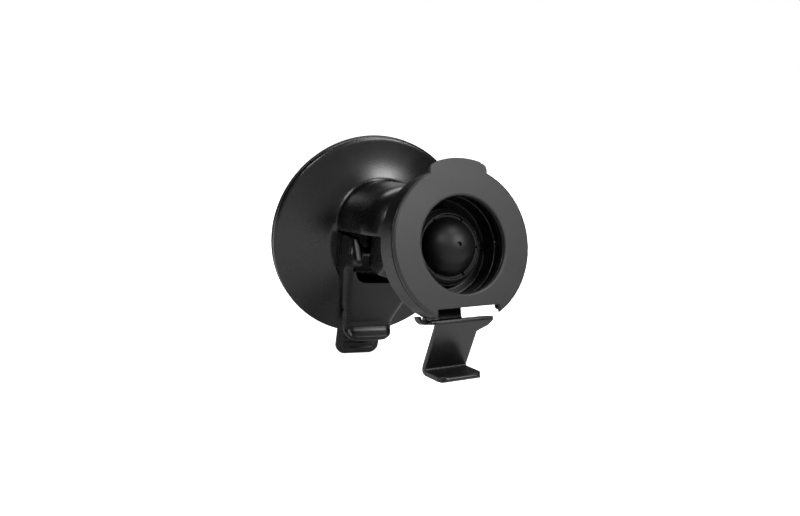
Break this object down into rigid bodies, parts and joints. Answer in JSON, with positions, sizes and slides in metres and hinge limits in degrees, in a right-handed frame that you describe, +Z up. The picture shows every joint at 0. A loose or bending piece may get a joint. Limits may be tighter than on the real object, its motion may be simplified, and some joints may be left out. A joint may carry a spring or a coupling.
{
  "type": "portable gps navigator mount",
  "caption": "Windscreen suction-cup mount with a cam lever, a tilting ball arm and a round snap-in bracket that holds a portable navigator.",
  "frame": {"origin": "centre of the suction face that meets the glass, on the cup's axis", "axes": "+Y out of the suction face into the glass, -Y towards the driver, +Z up, so +X is to the driver's right"},
  "size_m": [0.0708, 0.0762, 0.083],
  "materials": {
    "soft_pad": "soft black elastomer, satin",
    "moulded_black": "fine textured black",
    "gloss_black": "semi-gloss black",
    "ball_black": "polished black",
    "satin_face": "satin charcoal",
    "latch_black": "semi-gloss black",
    "acetal_black": "black acetal",
    "spring_steel": "drawn wire",
    "pin_steel": "ground",
    "zinc_steel": "zinc plated"
  },
  "bodies": {
    "base": {"suction_pad": "soft_pad", "base_shell": "gloss_black", "cam_plate": "acetal_black", "ball_stud": "ball_black", "stud_screw": "zinc_steel"},
    "post": {"pad_carrier": "moulded_black", "return_spring": "spring_steel", "lever_pin": "pin_steel", "pin_clips": "spring_steel"},
    "lever": {"lever": "moulded_black"},
    "ball_pan": {"friction_liner": "acetal_black"},
    "ball_tilt": {"socket_ring": "moulded_black"},
    "bracket": {"socket_cup": "moulded_black", "grip_ring": "spring_steel", "face_plate": "satin_face", "rear_housing": "moulded_black", "housing_screws": "zinc_steel", "latch_pin": "pin_steel", "latch_spring": "spring_steel"},
    "latch": {"latch": "latch_black"}
  },
  "joints": [
    {"name": "post_slide", "type": "slide", "parent": "base", "child": "post", "axis": [0, 1, 0], "range_m": [0, 0.00221], "deforming": ["suction_pad", "return_spring"]},
    {"name": "lever_hinge", "type": "hinge", "parent": "post", "child": "lever", "pos_m": [0, -0.022, 0], "axis": [-1, 0, 0], "range_deg": [0, 70]},
    {"name": "ball_pan", "type": "hinge", "parent": "base", "child": "ball_pan", "pos_m": [0, -0.0588, 0.0124], "axis": [0, 0.3746, 0.9272], "range_deg": [-20, 20]},
    {"name": "ball_tilt", "type": "hinge", "parent": "ball_pan", "child": "ball_tilt", "pos_m": [0, -0.0588, 0.0124], "axis": [1, 0, 0], "range_deg": [-20, 16]},
    {"name": "ball_spin", "type": "hinge", "parent": "ball_tilt", "child": "bracket", "pos_m": [0, -0.0588, 0.0124], "axis": [0.0732, -0.9307, 0.3584], "continuous": true},
    {"name": "latch_flex", "type": "hinge", "parent": "bracket", "child": "latch", "pos_m": [0.00081, -0.06162, -0.00459], "axis": [0.9953, 0.0909, 0.0326], "range_deg": [0, 8], "stiffness_Nm_per_rad": 0.05, "springref_deg": -17.19, "deforming": ["latch_spring"]}
  ],
  "couplings": [
    {"joint": "post_slide", "follows": "lever_hinge", "m_per_rad": 0.0018007}
  ]
}
